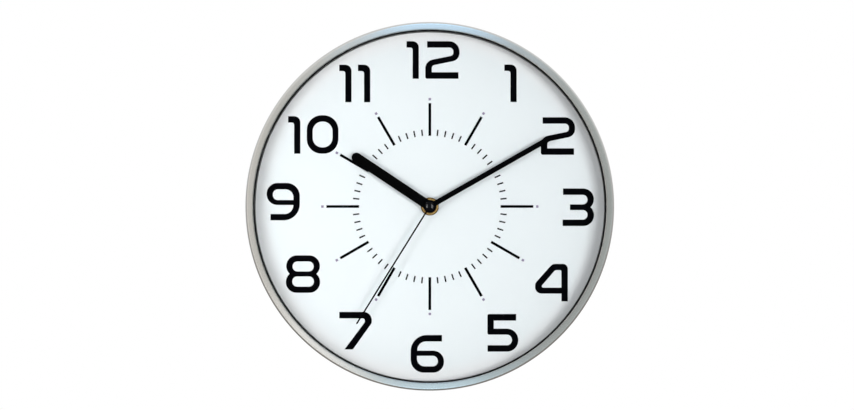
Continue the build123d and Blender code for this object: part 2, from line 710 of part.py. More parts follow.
# Step motor: rotor with its magnet, stator plate, and the coil on its core.
pieces["rotor_pinion"] = (
    disc(arbor_r, arbor_rear_z, train_tip_z, rotor_axis)
    + pinion(rotor_teeth, rotor_module, rotor_axis, intermediate_axis, intermediate_z))
pieces["rotor_magnet"] = tube(magnet_r, arbor_r + press_gap, magnet_rear_z, magnet_front_z, rotor_axis)
rotor_x, rotor_y = rotor_axis
stator = Pos(rotor_x, rotor_y) * Circle(stator_ring_r)
for side, end_x in ((-1, stator_left_x), (1, stator_right_x)):
    inner_x = end_x - side * stator_pad_w
    arm = [(end_x, coil_y + stator_pad_over, 0), (inner_x, coil_y + stator_pad_over, 0),
           (inner_x, coil_y - stator_shoulder_drop, 0), (rotor_x, rotor_y + stator_throat_rise, 0),
           (rotor_x, rotor_y - stator_toe_drop, 0),
           (rotor_x + side * stator_toe_x, rotor_y - stator_toe_drop, 0),
           (end_x, coil_y - stator_hip_drop, 0)]
    stator += outline(arm)
stator -= Pos(rotor_x, rotor_y) * Circle(magnet_r + stator_hole_gap)
pieces["stator_plate"] = Pos(0, 0, stator_rear_z) * extrude(stator, stator_front_z - stator_rear_z)
pieces["coil_core"] = block(stator_left_x, stator_right_x, coil_y - core_half_w, coil_y + core_half_w,
                            coil_z - core_half_t, coil_z + core_half_t)


def coil_ring(radius, x0, x1):
    return Pos(x0, coil_y, coil_z) * Rot(0, 90, 0) * extrude(Circle(radius), x1 - x0)


core_w = core_half_w + press_gap
core_t = core_half_t + press_gap
pieces["coil_bobbin"] = (coil_ring(bobbin_tube_r, bobbin_left_x, bobbin_right_x)
                         + coil_ring(bobbin_cheek_r, bobbin_left_x, bobbin_left_x + bobbin_cheek)
                         + coil_ring(bobbin_cheek_r, bobbin_right_x - bobbin_cheek, bobbin_right_x)
                         - block(bobbin_left_x, bobbin_right_x, coil_y - core_w, coil_y + core_w,
                                 coil_z - core_t, coil_z + core_t))
pieces["coil_winding"] = (coil_ring(winding_r, bobbin_left_x + bobbin_cheek, bobbin_right_x - bobbin_cheek)
                          - coil_ring(bobbin_tube_r + press_gap, bobbin_left_x, bobbin_right_x))

# Going train: intermediate, seconds and third wheels.
pieces["intermediate_wheel"] = (
    disc(arbor_r, arbor_rear_z, train_tip_z, intermediate_axis)
    + wheel(intermediate_teeth, rotor_module, intermediate_axis, rotor_axis, intermediate_z)
    + pinion(intermediate_leaves, intermediate_module, intermediate_axis, hands_axis, seconds_z))
pieces["seconds_wheel"] = (
    wheel(seconds_teeth, intermediate_module, hands_axis, intermediate_axis, seconds_z)
    + disc(hub_r, seconds_z - leaf_over, seconds_z)
    - disc(seconds_r + press_gap, arbor_rear_z, third_z))
pieces["seconds_arbor"] = (disc(seconds_r, arbor_rear_z, seconds_tip_z)
                           + pinion(seconds_leaves, seconds_module, hands_axis, third_axis, third_z))
pieces["third_wheel"] = (disc(arbor_r, arbor_rear_z, front_pivot_z, third_axis)
                         + wheel(third_teeth, seconds_module, third_axis, hands_axis, third_z)
                         + pinion(third_leaves, third_module, third_axis, hands_axis, centre_z))

# Centre wheel on the cannon tube, and the motion work that drives the hour tube.
pieces["centre_wheel"] = (wheel(centre_teeth, third_module, hands_axis, third_axis, centre_z)
                          + disc(hub_r, train_boss_z, centre_z)
                          - disc(cannon_r + press_gap, train_boss_z, motion_z))
pieces["cannon_tube"] = (disc(cannon_r, train_boss_z, cannon_tip_z)
                         + pinion(cannon_leaves, cannon_module, hands_axis, motion_axis, motion_z)
                         - disc(cannon_inner_r, train_boss_z, cannon_tip_z))
motion_shares = (pinion_tip_share, pinion_root_share)
pieces["motion_wheel"] = (
    disc(motion_arbor_r, knob_socket_z, front_pivot_z, motion_axis)
    + wheel(motion_teeth, cannon_module, motion_axis, hands_axis, motion_z)
    + gear(motion_leaves, motion_module, motion_shares, motion_axis, hands_axis, half_pitch_share,
           motion_z + wheel_thick, motion_leaves_z))
pieces["hour_wheel"] = (wheel(hour_teeth, motion_module, hands_axis, motion_axis, hour_z)
                        + disc(hour_tube_r, hour_z, hour_tube_tip_z)
                        - disc(hour_tube_inner_r, hour_z, hour_tube_tip_z))

# Setting knob with a fluted edge.
knob = extrude(Circle(knob_r), knob_h)
knob = fillet(knob.edges().filter_by(GeomType.CIRCLE), knob_edge_r)
knob -= around(knob_flutes, knob_r, extrude(Circle(knob_flute_r), knob_h))
pieces["setting_knob"] = (Pos(*motion_axis, knob_rear_z) * knob
                          - disc(motion_arbor_r + press_gap, knob_socket_z, knob_front_z, motion_axis))

# Hands and the domed cap.
pieces["hour_hand"] = hand(hour_len, hour_w, hour_hub_r, hand_sheet, hour_hand_z, hour_collar_r,
                           hour_collar_z, hour_tube_r + press_gap, hour_angle)
pieces["minute_hand"] = hand(minute_len, minute_w, minute_hub_r, hand_sheet, minute_hand_z, minute_collar_r,
                             minute_collar_z, cannon_r + press_gap, minute_angle)
pieces["second_hand"] = hand(second_len, second_w, second_hub_r, second_sheet, second_hand_z,
                             second_collar_r, second_collar_z, seconds_r + press_gap, second_angle)
dome_rise = cap_h - cap_skirt
dome_r = (cap_r ** 2 + dome_rise ** 2) / (2 * dome_rise)
cap = disc(cap_r, cap_rear_z, cap_front_z) & (Pos(0, 0, cap_front_z - dome_r) * Sphere(dome_r))
pieces["second_cap"] = cap - disc(cap_socket_r, cap_rear_z, cap_rear_z + cap_socket_depth)

# Circuit board, chip under its resin drop, and crystal can.
pieces["circuit_board"] = block(board_left_x, board_right_x, board_low_y, board_high_y,
                                board_rear_z, board_front_z)
chip = extrude(Circle(chip_r), chip_h)
chip = fillet(chip.edges().sort_by(Axis.Z)[-1], chip_edge_r)
pieces["chip_drop"] = Pos(*chip_place, board_front_z) * chip
pieces["crystal_can"] = (Pos(crystal_right_x, crystal_y, board_front_z + crystal_r) * Rot(0, -90, 0)
                         * extrude(Circle(crystal_r), crystal_len))


# Battery in the bay, and a folded leaf contact with a lead at each end of it.
def cell_ring(radius, x0, x1):
    return Pos(x0, cell_y, cell_z) * Rot(0, 90, 0) * extrude(Circle(radius), x1 - x0)


pieces["battery_can"] = (cell_ring(cell_r, nub_len - cell_half, cell_half)
                         + cell_ring(nub_r, -cell_half, nub_len - cell_half))
sleeve_ends = (nub_len - cell_half + sleeve_rim, cell_half - sleeve_rim)
pieces["battery_sleeve"] = cell_ring(sleeve_r, *sleeve_ends) - cell_ring(cell_r + press_gap, *sleeve_ends)


def leaf_contact(side):
    """Leaf on the cell's end, fold, base on the wall, and a lead up into the gear room."""
    def plate(u0, u1, y0, y1, z0, z1):
        edges = sorted((side * u0, side * u1))
        return block(*edges, y0, y1, z0, z1)

    low, high = cell_y - contact_half_w, cell_y + contact_half_w
    base_u = case_inner - contact_sheet
    leaf = plate(cell_half, cell_half + contact_sheet, low, high, contact_rear_z, contact_front_z)
    fold = plate(cell_half, case_inner, low, high, contact_front_z, contact_front_z + contact_sheet)
    base = plate(base_u, case_inner, low, high, contact_rear_z, contact_front_z)
    lead = plate(base_u, case_inner, high, room_low_y, board_front_z, lead_front_z)
    return leaf + fold + base + lead


pieces["contact_positive"] = leaf_contact(-1) + block(-case_inner, contact_sheet - case_inner, room_low_y,
                                                      lead_end_y, board_front_z, lead_front_z)
pieces["contact_negative"] = (leaf_contact(1)
                              + block(bus_end_x, case_inner, room_low_y, room_low_y + contact_sheet,
                                      board_front_z, lead_front_z)
                              + block(bus_end_x, bus_end_x + contact_sheet, room_low_y, lead_end_y,
                                      board_front_z, lead_front_z))

os.makedirs("parts", exist_ok=True)
for name, shape in pieces.items():
    export_step(Rot(stand_angle, 0, 0) * shape, f"parts/{name}.step")
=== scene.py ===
import bpy, bmesh, math
from mathutils import Matrix, Vector


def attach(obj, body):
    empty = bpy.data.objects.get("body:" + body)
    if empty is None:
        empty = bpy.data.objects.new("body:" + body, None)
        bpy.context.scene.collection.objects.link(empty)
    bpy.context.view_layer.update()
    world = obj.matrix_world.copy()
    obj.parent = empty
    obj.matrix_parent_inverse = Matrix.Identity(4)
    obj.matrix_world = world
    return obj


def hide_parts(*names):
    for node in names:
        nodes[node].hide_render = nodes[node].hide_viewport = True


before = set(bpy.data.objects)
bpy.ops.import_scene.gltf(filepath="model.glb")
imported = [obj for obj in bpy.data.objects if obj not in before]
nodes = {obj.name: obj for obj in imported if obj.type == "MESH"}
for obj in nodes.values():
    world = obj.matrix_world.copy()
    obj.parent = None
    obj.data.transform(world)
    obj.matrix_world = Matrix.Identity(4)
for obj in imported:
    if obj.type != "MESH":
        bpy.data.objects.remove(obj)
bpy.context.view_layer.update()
bpy.context.scene.view_settings.view_transform = "Standard"
MM = 0.001


# Rear case: one black ABS moulding with a rim on the wall, a wall tube that the glass sits on, a
# floor that carries the dial, ribs and a fence around the movement. Six screws come through its
# rim from behind, in counterbores, and hold it in the ring.
def linear(code):
    """The linear colour of an sRGB hex code."""
    values = [int(code[i:i + 2], 16) / 255 for i in (1, 3, 5)]
    return [v / 12.92 if v <= 0.04045 else ((v + 0.055) / 1.055) ** 2.4 for v in values] + [1]


def add(tree, kind, settings=None, **inputs):
    """Adds a node, with attributes from settings and sockets from values or links."""
    node = tree.nodes.new(kind)
    for key, value in (settings or {}).items():
        setattr(node, key, value)
    for key, value in inputs.items():
        key = int(key[1:]) if key[1:].isdigit() else key.replace("_", " ")
        if isinstance(value, bpy.types.NodeSocket):
            tree.links.new(value, node.inputs[key])
        else:
            node.inputs[key].default_value = value
    return node


def new_material(name, colour, roughness, metallic=0.0):
    """A Principled material, with its tree and shader."""
    made = bpy.data.materials.new(name)
    made.use_nodes = True
    shader = made.node_tree.nodes["Principled BSDF"]
    shader.inputs["Base Color"].default_value = linear(colour)
    shader.inputs["Roughness"].default_value = roughness
    shader.inputs["Metallic"].default_value = metallic
    return made, made.node_tree, shader


def uneven_shine(tree, shader, patch, detail, least, most):
    """Gives a shader a roughness that varies in patches of a size in mm, and returns the pattern."""
    place = add(tree, "ShaderNodeTexCoord").outputs["Object"]
    noise = add(tree, "ShaderNodeTexNoise", Vector=place, Scale=1 / (patch * MM), Detail=detail)
    rough = add(tree, "ShaderNodeMapRange", Value=noise.outputs["Fac"], To_Min=least, To_Max=most)
    tree.links.new(rough.outputs[0], shader.inputs["Roughness"])
    return noise.outputs["Fac"]


def placed(name, data):
    """An object in the scene that holds a mesh, a lamp or a camera."""
    made = bpy.data.objects.new(name, data)
    bpy.context.scene.collection.objects.link(made)
    return made


def as_mesh(work, name):
    """A mesh from a bmesh, which is then let go."""
    mesh = bpy.data.meshes.new(name)
    work.to_mesh(mesh)
    work.free()
    return mesh


def baked(holder):
    """The mesh that an object's modifiers give."""
    bpy.context.view_layer.update()
    shown = holder.evaluated_get(bpy.context.evaluated_depsgraph_get())
    return bpy.data.meshes.new_from_object(shown)


def rounded(profile):
    """The points of a closed profile of (radius, depth, rounding), with its corners rounded."""
    arc_steps = 6
    corners, points = [], []
    befores, afters = profile[-1:] + profile[:-1], profile[1:] + profile[:1]
    for before, corner, after in zip(befores, profile, afters):
        here = Vector(corner[:2])
        back, ahead = Vector(before[:2]) - here, Vector(after[:2]) - here
        half = back.angle(ahead) / 2
        corners.append((here, back, ahead, half, corner[2], corner[2] / math.tan(half)))
    for i, (here, back, ahead, half, rounding, reach) in enumerate(corners):
        if rounding == 0:
            points.append(here)
            continue
        # A row beside each end of a rounding keeps the shading of the flats flat.
        reach_before, reach_after = corners[i - 1][5], corners[(i + 1) % len(corners)][5]
        row_back = min(rounding / 2, (back.length - reach - reach_before) / 3)
        row_ahead = min(rounding / 2, (ahead.length - reach - reach_after) / 3)
        back, ahead = back.normalized(), ahead.normalized()
        middle = here + (back + ahead).normalized() * rounding / math.sin(half)
        points.append(here + back * (reach + row_back))
        for k in range(arc_steps + 1):
            spoke = (here + back * reach).lerp(here + ahead * reach, k / arc_steps) - middle
            points.append(middle + spoke.normalized() * rounding)
        points.append(here + ahead * (reach + row_ahead))
    return points


def turned(profile, segments=256):
    """A mesh turned about the hands' axis from a closed profile of (radius, depth, rounding)."""
    verts, faces, rows = [], [], []
    for point in rounded(profile):
        if point.x < 1e-6:
            rows.append([len(verts)] * segments)
            verts.append((0, -point.y * MM, 0))
            continue
        rows.append(list(range(len(verts), len(verts) + segments)))
        for n in range(segments):
            turn = 2 * math.pi * n / segments
            across, up = point.x * MM * math.sin(turn), point.x * MM * math.cos(turn)
            verts.append((across, -point.y * MM, up))
    for row, after in zip(rows, rows[1:] + rows[:1]):
        for n in range(segments):
            following = (n + 1) % segments
            loop = dict.fromkeys([row[n], row[following], after[following], after[n]])
            if len(loop) > 2:
                faces.append(list(loop))
    mesh = bpy.data.meshes.new("turned")
    mesh.from_pydata(verts, [], faces)
    work = bmesh.new()
    work.from_mesh(mesh)
    bmesh.ops.recalc_face_normals(work, faces=work.faces)
    work.to_mesh(mesh)
    work.free()
    return mesh


def slab(left, right, low, high, rear, front, ease):
    """A box between two sides, two heights and two depths, with its edges eased."""
    work = bmesh.new()
    bmesh.ops.create_cube(work, size=1.0)
    middle = Vector((left + right, -rear - front, low + high)) / 2
    span = Vector((right - left, front - rear, high - low))
    for vert in work.verts:
        vert.co = (middle + Vector(c * size for c, size in zip(vert.co, span))) * MM
    if ease:
        bmesh.ops.bevel(work, geom=work.edges[:], offset=ease * MM, segments=3, profile=0.5,
                        affect="EDGES")
    return as_mesh(work, "slab")


def drawn_out(corners, rear, front):
    """A bmesh of an outline of (x, height) corners between two depths, and its front corners."""
    work = bmesh.new()
    face = work.faces.new([work.verts.new((x * MM, -rear * MM, z * MM)) for x, z in corners])
    raised = bmesh.ops.extrude_face_region(work, geom=[face])["geom"]
    lifted = [g for g in raised if isinstance(g, bmesh.types.BMVert)]
    bmesh.ops.translate(work, verts=lifted, vec=(0, (rear - front) * MM, 0))
    bmesh.ops.recalc_face_normals(work, faces=work.faces)
    return work, lifted


def prism(corners, rear, front):
    """A mesh of an outline drawn out between two depths."""
    return as_mesh(drawn_out(corners, rear, front)[0], "prism")


def arc(radius, start, end, steps, middle=(0, 0)):
    """Points on a circle between two clock angles, in degrees."""
    turns = [math.radians(start + (end - start) * k / steps) for k in range(steps + 1)]
    return [(middle[0] + radius * math.sin(t), middle[1] + radius * math.cos(t)) for t in turns]


def cut(mesh, *cutters):
    """A mesh with others cut out of it, one after the other."""
    for cutter in cutters:
        base, tool = placed("base", mesh), placed("tool", cutter)
        modifier = base.modifiers.new("cut", "BOOLEAN")
        modifier.object, modifier.operation, modifier.solver = tool, "DIFFERENCE", "EXACT"
        mesh = baked(base)
        for used in (base, tool):
            bpy.data.objects.remove(used)
    return mesh


def ring_of(name, mesh, count, first_turn, material):
    """Copies of a mesh around the hands' axis, made with Geometry Nodes and turned into a mesh."""
    pattern = placed(name + "_pattern", mesh)
    holder = placed(name + "_holder", bpy.data.meshes.new(name + "_holder"))
    values = (("Piece", "Object", pattern), ("Count", "Int", count),
              ("First turn", "Float", first_turn), ("Finish", "Material", material))
    group = bpy.data.node_groups.new(name + "_around", "GeometryNodeTree")
    group.interface.new_socket("Geometry", in_out="OUTPUT", socket_type="NodeSocketGeometry")
    sockets = [group.interface.new_socket(title, in_out="INPUT", socket_type="NodeSocket" + kind)
               for title, kind, _ in values]
    given = add(group, "NodeGroupInput").outputs
    points = add(group, "GeometryNodePoints", Count=given["Count"])
    step = add(group, "ShaderNodeMath", {"operation": "DIVIDE"}, _0=2 * math.pi, _1=given["Count"])
    index = add(group, "GeometryNodeInputIndex")
    turn = add(group, "ShaderNodeMath", {"operation": "MULTIPLY_ADD"}, _0=index.outputs[0],
               _1=step.outputs[0], _2=given["First turn"])
    spin = add(group, "ShaderNodeCombineXYZ", Y=turn.outputs[0])
    source = add(group, "GeometryNodeObjectInfo", Object=given["Piece"])
    copies = add(group, "GeometryNodeInstanceOnPoints", Points=points.outputs[0],
                 Instance=source.outputs["Geometry"], Rotation=spin.outputs[0])
    real = add(group, "GeometryNodeRealizeInstances", Geometry=copies.outputs[0])
    coated = add(group, "GeometryNodeSetMaterial", Geometry=real.outputs[0], Material=given["Finish"])
    add(group, "NodeGroupOutput", Geometry=coated.outputs[0])

    modifier = holder.modifiers.new("around", "NODES")
    modifier.node_group = group
    for socket, (_, _, value) in zip(sockets, values):
        modifier[socket.identifier] = value
    result = baked(holder)
    holder.modifiers.remove(modifier)
    for used in (holder, pattern):
        bpy.data.objects.remove(used)
    return result


def joined(name, *meshes):
    """One mesh that holds several."""
    work = bmesh.new()
    for mesh in meshes:
        work.from_mesh(mesh)
    return as_mesh(work, name)


def finish_piece(name, mesh, material, body, slot, angle, *stands_for):
    """A piece on its body, in its material, shaded smooth below an angle between faces."""
    mesh.shade_smooth()
    mesh.set_sharp_from_angle(angle=math.radians(angle))
    mesh.materials.clear()
    mesh.materials.append(material)
    piece = placed(name, mesh)
    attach(piece, body)
    if stands_for:
        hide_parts(*stands_for)
    return piece


# Spark-eroded moulds leave a fine matt grain on ABS, which breaks its shine into a soft grey veil.
# The grain is about 0.5 mm, drawn at 0.8 mm so that it shows.
abs_black, tree, shader = new_material("moulded_black_ABS", "#101011", 0.5)
shader.inputs["Specular IOR Level"].default_value = 0.3
grain = uneven_shine(tree, shader, 0.8, 2.0, 0.42, 0.62)
bump = add(tree, "ShaderNodeBump", Height=grain, Strength=0.25, Distance=0.06 * MM)
tree.links.new(bump.outputs[0], shader.inputs["Normal"])

shaft_hole, tube_inner, tube_outer, rim = 4.15, 142.55, 143.4, 149.4
rim_front, rib_rear, floor_rear, floor_front, tube_front = 3.5, 17.5, 21.5, 23.5, 36.3
rib_inner, rib_outer = 77.4, 78.6
tube_ease, rim_ease, floor_ease, rib_ease = 0.15, 0.6, 0.8, 0.3
shell = turned([(shaft_hole, floor_front, 0), (tube_inner, floor_front, 0),
                (tube_inner, tube_front, tube_ease), (tube_outer, tube_front, tube_ease),
                (tube_outer, rim_front, 0), (rim, rim_front, 0), (rim, 0, rim_ease),
                (tube_inner, 0, rim_ease), (tube_inner, floor_rear, floor_ease),
                (rib_outer, floor_rear, rib_ease), (rib_outer, rib_rear, rib_ease),
                (rib_inner, rib_rear, rib_ease), (rib_inner, floor_rear, rib_ease),
                (shaft_hole, floor_rear, 0)])
screw_circle, screw_count, counterbore_r, counterbore_floor, overrun = 146.2, 6, 2.5, 1.9, 1
counterbore = prism(arc(counterbore_r, 0, 350, 35, (0, screw_circle)), -overrun, counterbore_floor)
first_screw = math.pi / screw_count
shell = cut(shell, ring_of("counterbores", counterbore, screw_count, first_screw, abs_black))
# Ribs and fence are sunk a little into the floor and the wall.
rib_half, rib_start, rib_count, sunk = 0.6, 45.86, 8, 0.2
spoke = slab(-rib_half, rib_half, rib_start, tube_inner + sunk, rib_rear, floor_rear + sunk, rib_ease)
ribs = ring_of("floor_ribs", spoke, rib_count, math.pi / rib_count, abs_black)
outer, inner, fence_rear = 29.6, 28.4, 18.5
fence = [slab(*sides, fence_rear, floor_rear + sunk, rib_ease)
         for sides in ((-outer, -inner, -outer, outer), (inner, outer, -outer, outer),
                       (-outer, outer, -outer, -inner), (-outer, outer, inner, outer))]
finish_piece("rear_moulding", joined("rear_moulding", shell, ribs, *fence), abs_black, "case",
             "black_abs", 35, "rear_case")


# Hanger box: moulded on the back of the floor in the same ABS. It is hollow, and a keyhole in its
# rear wall lets the wall screw's head in and hangs the clock on its shank.
head_r, head_height, neck, shank_r, shank_height, keyhole_front = 5, 102, 26.1, 2.2, 114, 4
box_half, box_low, box_high, box_rear, box_wall, hollow_front = 15, 90, 126, 0.6, 2, 24
keyhole = (arc(head_r, neck, 360 - neck, 40, (0, head_height)) + [(-shank_r, shank_height)]
           + arc(shank_r, -80, 80, 12, (0, shank_height)) + [(shank_r, shank_height)])
hollow = slab(box_wall - box_half, box_half - box_wall, box_low + box_wall, box_high - box_wall,
              box_rear + box_wall, hollow_front, 0)
hanger = cut(slab(-box_half, box_half, box_low, box_high, box_rear, floor_rear, 0.7), hollow,
             prism(keyhole, -overrun, keyhole_front))
finish_piece("hanger_box", hanger, abs_black, "case", "black_abs", 35, "wall_hanger")


# Metal ring: an aluminium band, spun with a flat front lip, satin anodised and brushed around. It
# slips over the case from the front, and six bosses inside take the case screws.
def from_axis(tree, place):
    """How far a place lies from the hands' axis."""
    split = add(tree, "ShaderNodeSeparateXYZ", Vector=place)
    flat = add(tree, "ShaderNodeCombineXYZ", X=split.outputs["X"], Y=split.outputs["Z"])
    away = add(tree, "ShaderNodeVectorMath", {"operation": "LENGTH"}, _0=flat.outputs[0])
    return away.outputs["Value"]


# Brushing around draws the sheen out into rays that run from the middle.
satin, tree, shader = new_material("satin_anodised_aluminium", "#e6e7e6", 0.3, 1.0)
shader.inputs["Anisotropic"].default_value = 0.75
shader.inputs["Anisotropic Rotation"].default_value = 0.25
around = add(tree, "ShaderNodeTangent", {"direction_type": "RADIAL", "axis": "Y"})
tree.links.new(around.outputs[0], shader.inputs["Tangent"])
place = add(tree, "ShaderNodeTexCoord").outputs["Object"]
# Brush lines are about 0.1 mm apart, drawn at 0.6 mm so that they show close up.
lines = add(tree, "ShaderNodeTexNoise", {"noise_dimensions": "1D"}, W=from_axis(tree, place),
            Scale=1 / (0.6 * MM), Detail=3.0)
rough = add(tree, "ShaderNodeMapRange", Value=lines.outputs["Fac"], To_Min=0.16, To_Max=0.24)
tree.links.new(rough.outputs[0], shader.inputs["Roughness"])
# The spun sheet is not quite flat: soft swells some 60 mm long bend its sheen.
swell = add(tree, "ShaderNodeTexNoise", Vector=place, Scale=1 / (60 * MM), Detail=1.0)
bump = add(tree, "ShaderNodeBump", Height=swell.outputs["Fac"], Strength=1.0, Distance=0.4 * MM)
fine = add(tree, "ShaderNodeBump", Height=lines.outputs["Fac"], Strength=0.15, Distance=0.02 * MM,
           Normal=bump.outputs[0])
tree.links.new(fine.outputs[0], shader.inputs["Normal"])

ring_outer, ring_inner, lip_inner, lip_rear, lip_front = 150, 148, 143.8, 38.8, 40.8
# From a crest near the glass, the front falls off a little to both edges. The outer one is round.
crest_inner, crest_outer, crest_fall = 144.3, 144.6, 0.012
inner_front, inner_ease, outer_front, outer_ease, rear_ease = 40.75, 0.1, 40.45, 1.7, 0.3
band = turned([(ring_inner, rim_front, 0), (ring_outer, rim_front, rear_ease),
               (ring_outer, outer_front, outer_ease), (crest_outer, lip_front - crest_fall, 0),
               (crest_inner, lip_front, 0), (lip_inner, inner_front, inner_ease),
               (lip_inner, lip_rear, 0), (ring_inner, lip_rear, 0)], 360)
boss_r, boss_length, boss_middle = 2.6, 12.5, 9.75
work = bmesh.new()
upright = Matrix.Translation((0, -boss_middle * MM, 0)) @ Matrix.Rotation(math.pi / 2, 4, "X")
bmesh.ops.create_cone(work, cap_ends=True, segments=32, radius1=boss_r * MM, radius2=boss_r * MM,
                      depth=boss_length * MM, matrix=upright)
bmesh.ops.bisect_plane(work, geom=work.verts[:] + work.edges[:] + work.faces[:], clear_outer=True,
                       plane_co=((ring_inner - screw_circle) * MM, 0, 0), plane_no=(1, 0, 0))
bmesh.ops.translate(work, verts=work.verts, vec=(screw_circle * MM, 0, 0))
bosses = ring_of("screw_bosses", as_mesh(work, "boss"), screw_count, 0.0, satin)
finish_piece("satin_ring", joined("satin_ring", band, bosses), satin, "case", "satin_aluminium", 40,
             "bezel_ring")


# Case screws: six zinc-plated pan heads with a crossed slot, let into the rim from behind and
# driven into the bosses of the ring.
def dress(material, *names):
    """Gives CAD nodes that stay as they are a material."""
    for name in names:
        slots = nodes[name].data.materials
        slots.clear()
        slots.append(material)


def smooth_copy(name, node, material, body, slot, angle=30):
    """A merged copy of a CAD node, shaded smooth but for its edges, that stands for it."""
    work = bmesh.new()
    work.from_mesh(nodes[node].data)
    bmesh.ops.remove_doubles(work, verts=work.verts, dist=0.002 * MM)
    piece = finish_piece(name, as_mesh(work, name), material, body, slot, angle, node)
    flats = piece.modifiers.new("flats_stay_flat", "WEIGHTED_NORMAL")
    flats.keep_sharp, flats.weight = True, 100


# Zinc dulls in small blotches, so that the heads glint unevenly.
zinc, tree, shader = new_material("zinc_plated_steel", "#b9bab5", 0.35, 1.0)
uneven_shine(tree, shader, 2, 3.0, 0.25, 0.48)
smooth_copy("rim_screws", "case_screws", zinc, "case", "zinc_steel")
dress(zinc, "crystal_can")


# Dial: a thin white sheet, matt lacquered and glued to the floor. Figures, bars and ticks are
# screen printed on it in black, the dots in a grey lilac.
# The lacquer is smooth and a soft even white. A painted warm light tints the shade by the rim.
lacquer_white, painted_rim_warmth_colour, painted_warmth_from, painted_warmth_to = "#f4f9fc", "#f9f9fb", 126, 142
white, tree, shader = new_material("matt_white_lacquer", lacquer_white, 0.6)
place = add(tree, "ShaderNodeTexCoord").outputs["Object"]
mottle = add(tree, "ShaderNodeTexNoise", Vector=place, Scale=1 / (1.2 * MM), Detail=2.0)
bump = add(tree, "ShaderNodeBump", Height=mottle.outputs["Fac"], Strength=0.01, Distance=0.02 * MM)
tree.links.new(bump.outputs[0], shader.inputs["Normal"])
# Painted warm light: the shade beside the rim is tinted warm from 126 to 142 mm out.
painted_warmth = add(tree, "ShaderNodeMapRange", {"interpolation_type": "SMOOTHSTEP"},
           Value=from_axis(tree, place), From_Min=painted_warmth_from * MM, From_Max=painted_warmth_to * MM)
lacquer = add(tree, "ShaderNodeMix", {"data_type": "RGBA"}, Factor=painted_warmth.outputs[0],
              _6=linear(lacquer_white), _7=linear(painted_rim_warmth_colour))
tree.links.new(lacquer.outputs[2], shader.inputs["Base Color"])
dial_edge, dial_front = 142.5, 24.1
sheet = turned([(shaft_hole, floor_front, 0), (dial_edge, floor_front, 0),
                (dial_edge, dial_front, 0), (shaft_hole, dial_front, 0)])
finish_piece("dial_sheet", sheet, white, "case", "white_dial", 30, "dial")


def ink(name, colour, thin):
    """A printed ink: it takes unevenly through the screen, in specks about 0.6 mm wide, and has
    no shine, so that figures stay deep from every side."""
    made, tree, shader = new_material(name, colour, 0.6)
    shader.inputs["Specular IOR Level"].default_value = 0.0
    place = add(tree, "ShaderNodeTexCoord").outputs["Object"]
    specks = add(tree, "ShaderNodeTexNoise", Vector=place, Scale=1 / (0.6 * MM), Detail=2.0)
    film = add(tree, "ShaderNodeMix", {"data_type": "RGBA"}, Factor=specks.outputs["Fac"],
               _6=linear(colour), _7=linear(thin))
    tree.links.new(film.outputs[2], shader.inputs["Base Color"])
    return made


dress(ink("screen_printed_black", "#010103", "#06070b"), "numerals", "hour_bars")
dress(ink("screen_printed_soft_black", "#121216", "#1e1e24"), "minute_ticks")
dress(ink("screen_printed_lilac", "#948aa4", "#9e94ad"), "hour_dots")


# Train: the plate, the wheels and the coil's bobbin, injection moulded in undyed acetal. The wheels
# turn on pivots in the plate and in the movement's case.
# Acetal lets a little light in, so that teeth look milky and soft at their edges.
acetal, tree, shader = new_material("natural_acetal", "#e4e1d8", 0.42)
shader.inputs["Subsurface Weight"].default_value = 0.1
shader.inputs["Subsurface Radius"].default_value = (MM, MM, 0.8 * MM)
uneven_shine(tree, shader, 3, 2.0, 0.34, 0.5)
dress(acetal, "train_plate", "coil_bobbin", "rotor_pinion", "intermediate_wheel", "seconds_wheel",
      "third_wheel", "centre_wheel", "motion_wheel", "hour_wheel")


# Movement case: two black styrene mouldings clipped together, the rear one with the battery's bay.
# A collar and two arrows stand up around the setting knob, and the poles beside the cell.
# Styrene keeps a low shine over its grain, a shade paler than the case behind it.
case_plastic, tree, shader = new_material("moulded_black_styrene", "#222225", 0.4)
shader.inputs["IOR"].default_value = 1.55
grain = uneven_shine(tree, shader, 0.5, 2.0, 0.32, 0.5)
bump = add(tree, "ShaderNodeBump", Height=grain, Strength=0.2, Distance=0.03 * MM)
tree.links.new(bump.outputs[0], shader.inputs["Normal"])
for piece, node in (("movement_shell", "movement_back"), ("cell_bay", "battery_bay"),
                    ("movement_lid", "movement_front")):
    smooth_copy(piece, node, case_plastic, "case", "movement_plastic")
knob_axis, back_face = (-1.75, 9.927), 4.6
collar_inner, collar_outer, collar_top, collar_ease = 8.2, 9.0, 4.0, 0.2
collar = turned([(collar_inner, back_face, 0), (collar_outer, back_face, 0),
                 (collar_outer, collar_top, collar_ease), (collar_inner, collar_top, collar_ease)], 96)
collar.transform(Matrix.Translation((knob_axis[0] * MM, 0, knob_axis[1] * MM)))
marks = [collar]
arrow_r, shaft_half, head_half, shaft_sweep, head_sweep, arrow_top = 11.5, 0.4, 1.4, 64, 14, 4.25
for start in (50, 230):
    end = start + shaft_sweep
    head = [arc(away, turn, turn, 1, knob_axis)[0]
            for away, turn in ((arrow_r + head_half, end), (arrow_r, end + head_sweep),
                               (arrow_r - head_half, end))]
    arrow = (arc(arrow_r + shaft_half, start, end, 24, knob_axis) + head
             + arc(arrow_r - shaft_half, end, start, 24, knob_axis))
    marks.append(prism(arrow, back_face, arrow_top))
pole_away, pole_height, pole_top, pole_ease, long, thin = 22, -8.5, 4.2, 0.12, 2, 0.45
for x, wide, high in ((-pole_away, long, thin), (-pole_away, thin, long), (pole_away, long, thin)):
    marks.append(slab(x - wide, x + wide, pole_height - high, pole_height + high, pole_top, back_face,
                      pole_ease))
finish_piece("moulded_marks", joined("moulded_marks", *marks), case_plastic, "case",
             "movement_plastic", 35)


